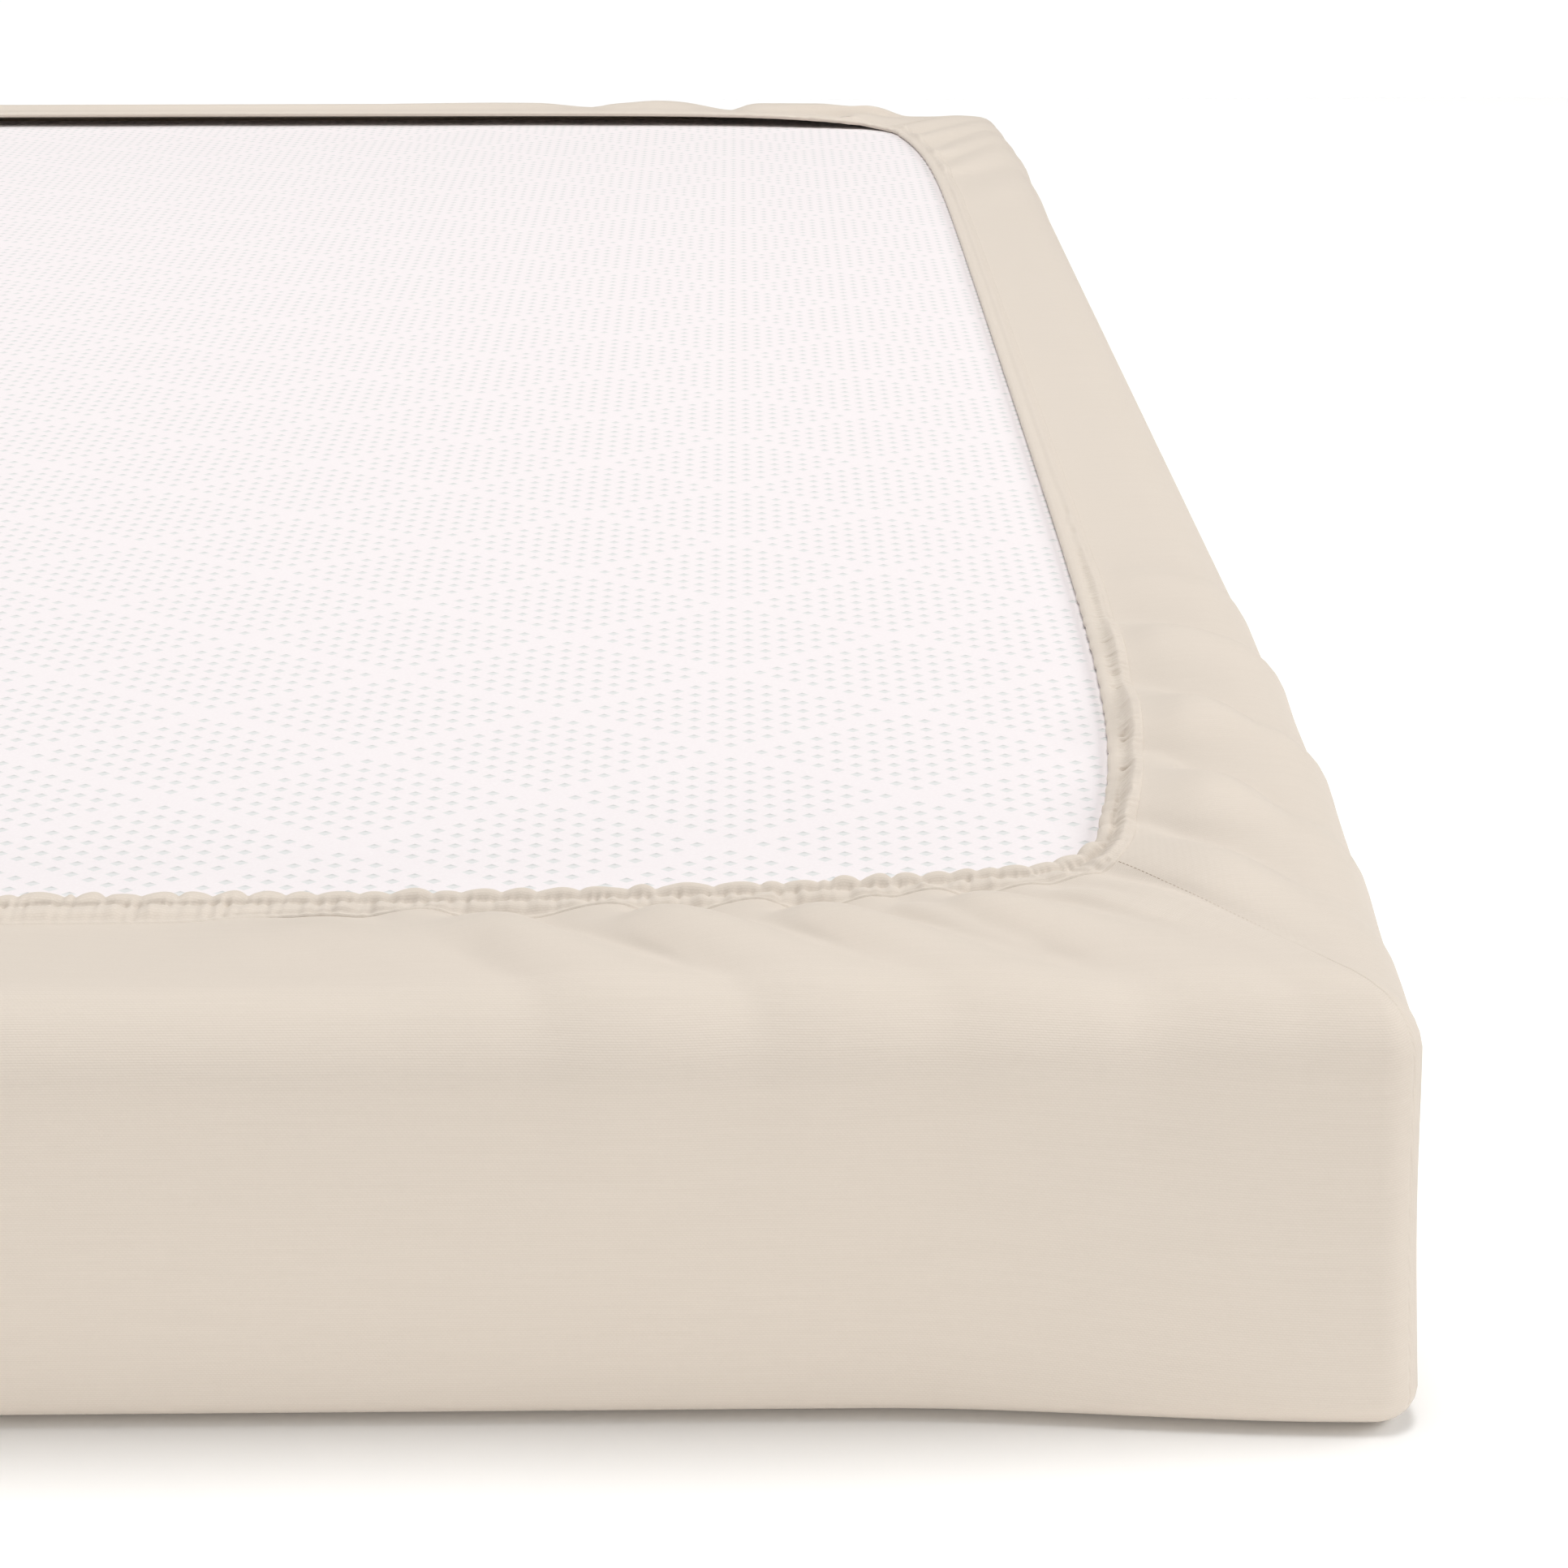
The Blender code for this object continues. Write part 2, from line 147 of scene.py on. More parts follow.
class Round:
    """Columns all the way round the sheet, the same lines as the solids', in finer steps."""

    def __init__(self, steps):
        """steps: for each corner, the fine step, the coarse one and the gathered lengths."""
        parts = []
        for (sx, sy, backwards), step in zip(((1, -1, False), (1, 1, True), (-1, 1, False),
                                              (-1, -1, True)), steps):
            corner = self.quarter(*step)
            part = np.column_stack((corner, np.tile((sx, sy), (len(corner), 1))))
            parts.append((part[::-1] if backwards else part)[:-1])
        columns = np.concatenate(parts)
        self.count = len(columns)
        self.hem_share, self.edge_share = columns[:, :2], columns[:, 2:4]
        self.turn, self.sides = columns[:, 4], columns[:, 5:7]
        self.out = self.sides * np.column_stack((np.sin(self.turn), np.cos(self.turn)))
        self.far = self.sides[:, 1] > 0.0
        self.at_seam = np.abs(self.turn - SEAM_AT) < 1e-6
        self.from_corner = (1.0 - self.edge_share) @ np.array((EDGE_X, EDGE_Y))

    @staticmethod
    def places(straight, half, fine, coarse, gathered):
        """Places along half a straight: coarse steps, then fine ones near the corner."""
        start = half - gathered
        slack = np.linspace(0.0, start, round(start / coarse), endpoint=False)
        tight = np.linspace(start, straight, round((straight - start) / fine), endpoint=False)
        return np.concatenate((slack, tight))

    def quarter(self, fine, coarse, gathered_x, gathered_y):
        """Columns from the middle of an end round a corner to the middle of a side."""
        columns = []
        hem, edge = HEM_X - HEM_R, EDGE_X - CORNER_R
        for x in self.places(hem, EDGE_X, fine, coarse, gathered_x):
            moved = x + (edge - hem) * ease(x / SKEW_X)
            columns.append((x / hem, 1.0, moved / edge, 1.0, 0.0))
        arc = 2 * round(HEM_R * math.pi / 4.0 / fine)
        for turn in np.linspace(0.0, math.pi / 2.0, arc + 1):
            columns.append((1.0, 1.0, 1.0, 1.0, turn))
        hem, edge = HEM_Y_NEAR - HEM_R, EDGE_Y - CORNER_R
        for y in self.places(hem, EDGE_Y, fine, coarse, gathered_y)[::-1]:
            moved = y + (edge - hem) * ease((y - LEAN_FROM_Y) / SKEW_Y)
            columns.append((1.0, y / hem, 1.0, moved / edge, math.pi / 2.0))
        return np.array(columns)

    def outline(self, half_x, half_y, radius, share, push=0.0):
        """A rounded rectangle's point at each column, then moved outwards by push."""
        straight = np.column_stack(np.broadcast_arrays(half_x - radius, half_y - radius,
                                                       self.turn))
        corner = radius * np.column_stack((np.sin(self.turn), np.cos(self.turn)))
        pushed = self.out * np.reshape(push, (-1, 1))
        return self.sides * (straight[:, :2] * share + corner) + pushed

    def edge_line(self, inset, extra=0.0):
        """The top edges' line, moved inwards by inset and outwards by extra."""
        radius = max(CORNER_R - inset, TIGHT_R)
        bow = BOW * ease(self.from_corner / BOW_END)
        return self.outline(EDGE_X - inset, EDGE_Y - inset, radius, self.edge_share,
                            bow + extra)

    def foot_line(self, inset):
        """The foot's line, moved inwards by inset."""
        radius = max(CORNER_R - inset, TIGHT_R)
        at_corner = 1.0 - ease(self.from_corner / FLARE_END)
        flare_y = FLARE_Y + FLARE_CORNER * at_corner
        return self.outline(EDGE_X + FLARE_X - inset, EDGE_Y + flare_y - inset, radius,
                            self.edge_share)

    def hem_line(self):
        """The line of the hem's inner lip."""
        half_y = np.where(self.far, HEM_Y_FAR, HEM_Y_NEAR)
        away = (1.0 - self.hem_share) @ np.array((HEM_X, HEM_Y_NEAR))
        return self.outline(HEM_X, half_y, HEM_R, self.hem_share,
                            -HEM_DRAW * np.exp(-away / HEM_DRAW_END))


TURN_SPAN = 0.9                    # radians of turn over which an end becomes a side
WIDTH_TURN, LIFT_TURN = 0.5, 0.4   # the turns where the hem's width and lift start to change
SIDE_LIFT_LOSS = 0.15              # share of a fold's height that a side's hem doesn't take


def towards_side(columns, start):
    """0 along an end, 1 along a side, and a smooth change round the corner from a turn on."""
    return ease((columns.turn - start) / TURN_SPAN)


def hem_width(columns):
    """Width of the hem at each column: wider at the near end than elsewhere."""
    end = np.where(columns.far, HEM_WIDTH, HEM_NEAR)
    return end + (HEM_WIDTH - end) * towards_side(columns, WIDTH_TURN)


def hem_lifted(columns):
    """Share of a fold's height that the hem takes up: all at the ends, less at the sides."""
    return 1.0 - SIDE_LIFT_LOSS * towards_side(columns, LIFT_TURN)


def far_lift(points, height):
    """Lift of the far end's cloth, which stands off the mattress between its corners."""
    across = ease((LIFT_START - np.abs(points[:, 0])) / LIFT_FADE)
    return height * across * ease((points[:, 1] - HEM_Y_NEAR) / (HEM_Y_FAR - HEM_Y_NEAR))


def curve_through(points, steps=CREST_STEPS):
    """A smooth curve through points, as many steps between each pair."""
    points = np.array(points, float)
    padded = np.vstack((2 * points[0] - points[1], points, 2 * points[-1] - points[-2]))
    out = []
    for a, b, c, d in zip(padded, padded[1:], padded[2:], padded[3:]):
        for t in np.arange(steps) / steps:
            out.append(0.5 * (2 * b + (c - a) * t + (2 * a - 5 * b + 4 * c - d) * t * t
                              + (3 * b - a - 3 * c + d) * t ** 3))
    return np.array(out + [points[-1]])


def line_run(points):
    """Distance along a line at each of its points."""
    return np.concatenate(((0.0,), np.cumsum(np.linalg.norm(np.diff(points, axis=0), axis=1))))


def crest_line(crest):
    """A crest's curve from its points, run on inwards under the hem."""
    first = np.array(crest[0])
    half = np.array((HEM_X - HEM_R, HEM_Y_NEAR - HEM_R))
    inward = first[:2].clip(-half, half) - first[:2]
    first[:2] += inward / np.hypot(*inward) * UNDER_HEM
    return curve_through(np.vstack((first, crest)))


def fold_shape(place, plan, height, back, front, turned):
    """A fold's height over its crest at each place, and the distance from it in half widths."""
    starts, runs = plan[:-1], np.diff(plan, axis=0)
    part = (((place[:, None] - starts) * runs).sum(axis=2)
            / (runs * runs).sum(axis=1)).clip(0.0, 1.0)
    away = place[:, None] - starts - part[:, :, None] * runs
    gaps = np.hypot(away[:, :, 0], away[:, :, 1])
    gap = gaps.min(axis=1)
    weight = np.exp((gap[:, None] - gaps) / CREST_BLEND)
    weight /= weight.sum(axis=1)[:, None]
    side = (runs[:, 0] * away[:, :, 1] - runs[:, 1] * away[:, :, 0]) * turned
    side = side / (np.hypot(runs[:, 0], runs[:, 1]) * gaps + 1e-9)
    side = (side * weight).sum(axis=1)
    along = ((np.arange(len(runs)) + part) / len(runs) * weight).sum(axis=1)
    tall = ((height[:-1] + np.diff(height) * part) * weight).sum(axis=1)
    back_w = (back[0] + (back[1] - back[0]) * along) * MM
    front_w = (front[0] + (front[1] - front[0]) * along) * MM
    return tall, gap / (front_w + (back_w - front_w) * ease(0.5 + 0.5 * side))


def fold_grid():
    """Height of the flap's folds on a grid, all four corners together, a little softened."""
    half_x, half_y, step = FOLD_GRID
    across, along_y = np.arange(-half_x, half_x, step), np.arange(-half_y, half_y, step)
    points = np.stack(np.meshgrid(across, along_y), axis=-1).reshape(-1, 2)
    ridge, trough = np.zeros(len(points)), np.zeros(len(points))
    for sx, sy, folds, reach, strength in CORNERS:
        for crest, back, front in folds:
            if sy < 0 and crest[0][2] < 0.0:
                continue                 # dips belong to the far end, which stands off
            line = crest_line(crest)
            corner = np.array((EDGE_X, math.copysign(EDGE_Y, line[0, 1])))
            plan = corner + (line[:, :2] - corner) * reach
            plan = plan * (sx, sy)
            low, high = plan.min(axis=0) - FOLD_REACH, plan.max(axis=0) + FOLD_REACH
            near = np.flatnonzero(((points > low) & (points < high)).all(axis=1))
            turned = sx * sy * (1.0 if folds is NEAR_RIGHT else -1.0)
            tall, share = fold_shape(points[near], plan, line[:, 2] * strength * MM, back,
                                     front, turned)
            dome = tall * np.cos(math.pi / 2.0 * np.clip(share, 0.0, DOME_END))
            ridge[near] = np.where(tall > 0.0, either(ridge[near], dome, FOLD_SOFT),
                                   ridge[near])
            dip = np.minimum(tall, 0.0) * (0.5 + 0.5 * np.cos(math.pi * share.clip(0.0, 1.0)))
            trough[near] = np.minimum(trough[near], dip)
    grid = (ridge + trough).reshape(len(along_y), len(across))
    for axis in (0, 1):
        grid = sum(np.roll(grid, shift, axis) * share for shift, share in SOFTEN)
    return grid


FOLDS = fold_grid()


def fold_height(points):
    """Height of the flap's folds over plan points."""
    place = (points + np.array(FOLD_GRID[:2])) / FOLD_GRID[2]
    low = place.astype(int)
    (i, j), (a, b) = low.T, (place - low).T
    return ((FOLDS[j, i] * (1.0 - a) + FOLDS[j, i + 1] * a) * (1.0 - b)
            + (FOLDS[j + 1, i] * (1.0 - a) + FOLDS[j + 1, i + 1] * a) * b)


def rows_to_mesh(name, rings, uvs, close_ring=False, first_hub=None, last_hub=None):
    """Rings of points bridged one to the next; a hub closes the first or the last of them."""
    count, rows = len(rings[0]), len(rings)
    points = np.concatenate(rings)
    last = rows if close_ring else rows - 1
    column = np.arange(count)
    following = (column + 1) % count
    quads = np.concatenate([
        np.column_stack((row * count + column, row * count + following,
                         (row + 1) % rows * count + following, (row + 1) % rows * count + column))
        for row in range(last)])
    faces = quads.tolist()
    which = np.repeat(np.tile(column, last), 4)
    for hub, a, b in ((first_hub, following, column),
                      (last_hub, column + (rows - 1) * count, following + (rows - 1) * count)):
        if hub is not None:
            middle = np.full(count, len(points))
            points = np.vstack((points, hub))
            faces += np.column_stack((a, b, middle)).tolist()
            which = np.concatenate((which, np.repeat(column, 3)))
    mesh = bpy.data.meshes.new(name)
    mesh.from_pydata(points.tolist(), [], faces)
    layer = mesh.uv_layers.new(name="UVMap")
    loops = np.array([v for face in faces for v in face])
    layer.data.foreach_set("uv", uvs(loops, which).astype(np.float32).ravel())
    mesh.polygons.foreach_set("use_smooth", np.ones(len(faces), bool))
    mesh.update()
    thing = bpy.data.objects.new(name, mesh)
    bpy.context.scene.collection.objects.link(thing)
    return thing


# ---- the cloth: bottom panel, sides and flap up to the hem ------------------------------
# Steps of the columns at each corner, from the near right one on: the fine step, the coarse
# one, and the length of an end and of a side that has fine ones
CLOTH_STEPS = ((0.0025, 0.030, 0.52, 0.58),) + ((0.0060, 0.040, 0.62, 0.50),) * 3
FLAP_ROWS = np.concatenate((np.linspace(0.0, 0.30, 12), np.linspace(0.30, 1.0, 19)[1:]))
EDGE_ROWS, SIDE_ROWS, FOOT_ROWS = 10, 12, 7
BOTTOM_RINGS = (0.97, 0.85, 0.6, 0.3)
FLAP_UNDER, FLAP_BASE = 0.0022, 0.0013     # how far the flap starts under the hem, and up
FLAP_CLEAR = 0.0005                # least air between the flap and where the cloth would rest
FLAP_RISE, FOLD_RISE = 1.15, 0.40  # how soon over the flap its level and its folds rise
SEAM_SINK, SEAM_TURN = 0.0004, 0.035       # the sunk line along a corner seam
FLAT_CORNER, CORNER_REACH = 1.7, 0.05      # the belly turns inwards this close to a corner


def flap_level(columns):
    """The flap's start under the hem, and its height there."""
    lip = columns.hem_line()
    start = lip + columns.out * (hem_width(columns) - FLAP_UNDER)[:, None]
    base = MATTRESS_TOP + REST_GAP + far_lift(lip, LIFT) + FLAP_BASE
    return start, base


def flap_rings(c, end, level_end, seam):
    """Rings of the flap from under the hem to where the rounded edge begins."""
    start, base = flap_level(c)
    at_hem = hem_lifted(c)
    rings = []
    for share in FLAP_ROWS:
        plan = start * (1.0 - share) + end * share
        level = (base + (level_end - base) * ease(share * FLAP_RISE)
                 - SEAM_SINK * share * seam)
        low = MATTRESS_TOP + REST_GAP + FLAP_CLEAR
        risen = at_hem + (1.0 - at_hem) * ease(share / FOLD_RISE)
        rings.append(np.column_stack((plan, np.maximum(level + fold_height(plan) * risen,
                                                       low))))
    return rings


def side_rings(c, end, level_end, seam):
    """Rings of the rounded edge, the side, the rounded foot and the bottom."""
    rings = []
    folds = fold_height(end)
    push = EDGE_PUSH * folds
    for angle in np.linspace(0.0, math.pi / 2.0, EDGE_ROWS)[1:]:
        proud = folds + (push - folds) * angle * 2.0 / math.pi - SEAM_SINK * seam
        plan = c.edge_line(EDGE_ROUND * (1.0 - math.sin(angle)), proud * math.sin(angle))
        rings.append(np.column_stack((plan, level_end - EDGE_ROUND
                                      + (EDGE_ROUND + proud) * math.cos(angle))))
    top, foot = c.edge_line(0.0), c.foot_line(0.0)
    at_corner = np.exp(-(c.from_corner / CORNER_REACH) ** 2)
    high = level_end - EDGE_ROUND
    for share in np.linspace(0.0, 1.0, SIDE_ROWS)[1:]:
        level = high * (1.0 - share) + FOOT_ROUND * share
        fade = ease(1.0 - (high - level) / PUSH_FADE)
        belly = SIDE_BULGE * math.sin(math.pi * share) * (1.0 - FLAT_CORNER * at_corner)
        out = push * fade + belly - SEAM_SINK * seam
        plan = top * (1.0 - share) + foot * share + c.out * out[:, None]
        rings.append(np.column_stack((plan, level)))
    for angle in np.linspace(0.0, math.pi / 2.0, FOOT_ROWS)[1:]:
        plan = c.foot_line(FOOT_ROUND * (1.0 - math.cos(angle)))
        plan = plan - c.out * (SEAM_SINK * math.cos(angle) * seam)[:, None]
        rings.append(np.column_stack((plan, np.full(c.count, FOOT_ROUND
                                                    * (1.0 - math.sin(angle))))))
    under = c.foot_line(FOOT_ROUND)
    for share in BOTTOM_RINGS:
        rings.append(np.column_stack((under * share, np.zeros(c.count))))
    return rings


def cut_maps(c, stacked, below):
    """Metres of cloth as the panel was cut: one map for the ends, one for the long sides."""
    steps = np.linalg.norm(np.diff(stacked, axis=0), axis=2)
    run = np.vstack((np.cumsum(steps[:below][::-1], axis=0)[::-1], np.zeros(c.count)))
    under = c.foot_line(FOOT_ROUND)
    ends_u, long_v = stacked[:below + 1, :, 0], stacked[:below + 1, :, 1]
    ends_v = (np.abs(under[:, 1]) + run) * c.sides[:, 1]
    long_u = (np.abs(under[:, 0]) + run) * c.sides[:, 0]
    flat = stacked[below + 1:, :, :2]
    maps = []
    for u, v in ((ends_u, ends_v), (long_u, long_v)):
        cut = np.concatenate((np.dstack((u, v)), flat))
        maps.append(np.vstack((cut[::-1].reshape(-1, 2), (0.0, 0.0))))
    return maps


def cloth():
    """The cloth's piece, its rows down to the foot, and the columns of its four seams."""
    c = Round(CLOTH_STEPS)
    end = c.edge_line(EDGE_ROUND)
    level_end = TOP + far_lift(end, EDGE_LIFT)
    seam = np.exp(-((c.turn - SEAM_AT) / SEAM_TURN) ** 2)
    rings = flap_rings(c, end, level_end, seam) + side_rings(c, end, level_end, seam)
    stacked = np.array(rings)
    below = len(rings) - len(BOTTOM_RINGS) - 1
    maps = cut_maps(c, stacked, below)
    ends = (c.turn + np.roll(c.turn, -1)) / 2.0 < SEAM_AT

    def uvs(loops, which):
        return np.where(ends[which][:, None], maps[0][loops], maps[1][loops])

    thing = rows_to_mesh("sheet_cloth", rings[::-1], uvs, first_hub=(0.0, 0.0, 0.0))
    return thing, stacked[:below], np.flatnonzero(c.at_seam)


# ---- the thread of the corner seams ------------------------------------------------------
STITCH_PITCH, STITCH_LONG, THREAD_R, STITCH_ASIDE = 0.0022, 0.0015, 0.00020, 0.0010
STITCH_FIRST, STITCH_LAST = 0.002, 0.004   # distances left free at a seam's two ends
THREAD_SIDES = 6
# A stitch's rings: place along it and height, as shares of its length and radius
STITCH_RINGS = ((-0.5, -0.5), (-0.3, 0.5), (0.3, 0.5), (0.5, -0.5))
UP_SLOPE, UP_MIDDLE = (0.2, 0.2, 1.0), (0.0, 0.0, 0.08)     # which way is out of the cloth


def one_stitch(middle, along, aside, first):
    """Points and faces of a stitch, its faces numbered from first."""
    up = np.cross(along, aside)
    up *= math.copysign(1.0, up @ (middle * UP_SLOPE - UP_MIDDLE))
    points, faces = [], []
    for share, raised in STITCH_RINGS:
        place = (middle + aside * STITCH_ASIDE + along * STITCH_LONG * share
                 + up * THREAD_R * raised)
        points += [place + THREAD_R * (aside * math.cos(a) + up * math.sin(a))
                   for a in np.linspace(0.0, 2.0 * math.pi, THREAD_SIDES, endpoint=False)]
    last = len(STITCH_RINGS) - 1
    for k in range(last):
        for i in range(THREAD_SIDES):
            a = first + THREAD_SIDES * k + i
            b = first + THREAD_SIDES * k + (i + 1) % THREAD_SIDES
            faces.append((a, b, b + THREAD_SIDES, a + THREAD_SIDES))
    end = first + THREAD_SIDES * last
    faces += [tuple(range(first + THREAD_SIDES - 1, first - 1, -1)),
              tuple(range(end, end + THREAD_SIDES))]
    return points, faces


def stitches(rows, seams):
    """Dashes of sewing thread beside the four corner seams, from the hem to the foot."""
    points, faces = [], []
    for seam in seams:
        path = rows[:, seam]
        across = rows[:, seam + 1] - rows[:, seam - 1]
        run = line_run(path)

        def at(values, place):
            return np.array([np.interp(place, run, values[:, axis]) for axis in range(3)])

        for begin in np.arange(STITCH_FIRST, run[-1] - STITCH_LAST, STITCH_PITCH):
            middle = at(path, begin + STITCH_LONG / 2.0)
            along = at(path, begin + STITCH_LONG) - at(path, begin)
            along /= np.linalg.norm(along)
            aside = at(across, begin)
            aside -= along * (aside @ along)
            aside /= np.linalg.norm(aside)
            more_points, more_faces = one_stitch(middle, along, aside, len(points))
            points += more_points
            faces += more_faces
    mesh = bpy.data.meshes.new("sheet_stitches")
    mesh.from_pydata([tuple(point) for point in points], [], faces)
    build = bmesh.new()
    build.from_mesh(mesh)
    bmesh.ops.recalc_face_normals(build, faces=build.faces)
    build.to_mesh(mesh)
    build.free()
    thing = bpy.data.objects.new("sheet_stitches", mesh)
    bpy.context.scene.collection.objects.link(thing)
    return thing


# ---- the hem: a gathered tunnel of the same cloth --------------------------------------
# Steps of the columns at each corner, as for the cloth
HEM_STEPS = ((0.0009, 0.0060, 0.70, 0.56), (0.0024, 0.0080, 0.46, 0.50),
             (0.0024, 0.0080, 0.46, 0.50), (0.0030, 0.0080, 0.60, 0.46))
# How much the hem gathers and ruffles, by the distance from the nearest seam
GATHER_REACH, GATHER_FADE, SIDE_GATHER = 0.50, 0.24, 0.75
FRONT_RUFFLES = (0.50, 0.50, 0.60, 0.25)   # least share, what a corner adds, its reach, fade
FAR_RUFFLES = (0.18, 0.50, 0.20, 0.15)
SIDE_RUFFLES = (0.06, 0.94, 0.050)         # least share, what a corner adds, its reach
PUFF_REACH, PUFF_FADE, SIDE_PUFF = 0.75, 0.3, 0.075
# The inner lip: how far apart its notches beyond the listed ones are, and the lobes between
# notches, with their lean, size and width
LIP_SEED, NOTCH_APART = 7, (0.008, 0.019)
LOBE_LEAN, LOBE_SIZE = (0.7, 1.4), (0.5, 1.15)
LOBE_WIDE, LOBE_LEAST, LOBE_MOST = 0.013, 0.5, 1.3
NOTCH_WIDE, PINCH_ASIDE, PINCH_WIDE = 0.0015, 0.0008, 0.0014
PINCH_CYCLE, PINCHED = 5, (0, 2)           # which notches of every five have a pinch
LIP_SWAY, LOBE_MEAN, LIP_WANDER = 1.7, 0.45, 0.3     # in mm, in and out
SWAY_END = 0.7                             # part of the width over which the sway ends
# Waves round the hem: seed, shortest and longest wave, and how many where not the usual count
SMALL_WAVES, MID_WAVES = (3, 0.004, 0.008), (5, 0.012, 0.026)
TINY_WAVES = (9, 0.0022, 0.0042, 20)
WAVE_COUNT, WAVE_PEAK = 14, 1.4
# A row of dents along the sides: depth in mm, distance apart, and where it ends
DENT_DEEP, DENT_PITCH, DENT_REACH, DENT_MIDDLE, DENT_FADE = 1.4, 0.0033, 0.56, 0.02, 0.06
# The section, heights in mm and places as parts of the width outwards from the lip: a roll at
# the lip and a band behind it, with a groove between them, and a low rim outside
ROLL_HIGH, ROLL_PUFF, ROLL_LOBE, LOBE_LEVEL, ROLL_NOTCH = 3.9, 1.3, 1.4, 0.5, 0.6
BAND_HIGH, BAND_PUFF, BAND_WAVE, PUFF_WAVE = 3.6, 0.9, 0.25, 0.65
ROLL_AT, BAND_AT, BLUNT = (0.16, 0.25), (0.60, 0.25), 2.6   # middle and reach, and bluntness
FLOOR_HIGH, FLOOR_PUFF, RIM_HIGH, RIM_FROM, RIM_SPAN = 3.0, 0.9, 1.45, 0.66, 0.20
BAND_SOFT, FLOOR_SOFT = 1.0, 0.9           # rounding where the roll, band and floor meet
LEAST_HIGH = 0.9
HINGE, SIDE_HINGE_LOSS, HINGE_END = 0.55, 0.9, 0.97  # from where a fold lifts it, and to where
PUCKER_SMALL, PUCKER_TINY, PUCKERS_AT = 0.40, 0.20, (0.40, 0.15)
PINCH_HIGH, PINCHES_AT = 0.7, (0.40, 0.17)
BAND_PUCKER, BAND_PUCKERS_AT = 0.30, (0.72, 0.2)
PIT_DEEP, PITS_AT, DENTS_AT = 2.5, (0.50, 0.13), (0.52, 0.10)
# Its outer edge, by the distance from it in mm; over the near folds it is arched
ARCH_FULL, ARCH_DEEP, ARCH_AT = 7.0, 1.2, (4.8, 1.2)
EDGE_DROP, EDGE_DROP_WIDE = 1.6, 1.6
RIDGE_HIGH, RIDGE_ARCH, RIDGE_AT = 0.40, 0.5, (2.3, 0.9)
# Rings, each at a part of the width: the underside's start, the lip's (part, the part of the
# top whose height it takes, share), the top's, and the outer wall's (part, share of its height)
UNDER_PART = 0.08
LIP_RINGS = ((0.018, 0.055, 0.22), (0.0, 0.055, 0.50), (0.006, 0.055, 0.78),
             (0.026, 0.03, 0.94))
TOP_PARTS = (*np.linspace(0.055, 0.90, 20), 0.93, 0.955, 0.975, 0.993)
WALL_RINGS = ((1.010, 0.84), (1.024, 0.55), (1.040, 0.26), (1.045, 0.0))
UNDERSIDE = 0.02                           # width of the underside in the cloth's map


def bell(value, middle, reach):
    """1 at the middle, falling off smoothly to both sides."""
    return np.exp(-((value - middle) / reach) ** 2)


def at_part(part, place, power=2):
    """The same for one part of the hem's width; a higher power makes the top blunter."""
    middle, reach = place
    return math.exp(-abs((part - middle) / reach) ** power)


def waves(run, length, seed, shortest, longest, count=WAVE_COUNT):
    """Uneven waves along a closed run, about one high."""
    rng = np.random.default_rng(seed)
    total = np.zeros(len(run))
    for _ in range(count):
        turns = round(length / rng.uniform(shortest, longest))
        total += np.sin(2 * math.pi * (turns * run / length + rng.random()))
    return total / math.sqrt(count / 2.0) / WAVE_PEAK


def ruffle_share(distance, on_front, on_end):
    """How much the inner lip ruffles, at a distance from the nearest seam."""
    front, far = (least + more * ease((reach - distance) / fade)
                  for least, more, reach, fade in (FRONT_RUFFLES, FAR_RUFFLES))
    least, more, reach = SIDE_RUFFLES
    side = least + more * np.exp(-(distance / reach) ** 2)
    return np.where(on_front, front, np.where(on_end, far, side))


def lip_ruffles(run, length, seam):
    """At each place along the lip: the lobe, the notch and the pinch beside some notches."""
    rng = np.random.default_rng(LIP_SEED)
    marks = [seam - n * MM for n in NOTCHES] + [seam]
    place = seam
    while place < length + min(marks) - NOTCH_APART[0]:
        place += rng.uniform(*NOTCH_APART)
        marks.append(place)
    marks = np.sort(np.array(marks) % length)
    after = np.searchsorted(marks, run) % len(marks)
    ahead = (marks[after] - run) % length
    behind = (run - marks[after - 1]) % length
    gap, wide = np.minimum(ahead, behind), ahead + behind
    nearest = np.where(ahead < behind, after, after - 1) % len(marks)
    lean, size = rng.uniform(*LOBE_LEAN, len(marks)), rng.uniform(*LOBE_SIZE, len(marks))
    lobe = (np.sin(math.pi * (behind / wide) ** lean[after])
            * np.clip(wide / LOBE_WIDE, LOBE_LEAST, LOBE_MOST)) * size[after]
    notch = np.exp(-(gap / NOTCH_WIDE) ** 2) * size[nearest]
    pinch = bell(gap, PINCH_ASIDE, PINCH_WIDE) * np.isin(nearest % PINCH_CYCLE, PINCHED)
    return lobe, notch, pinch


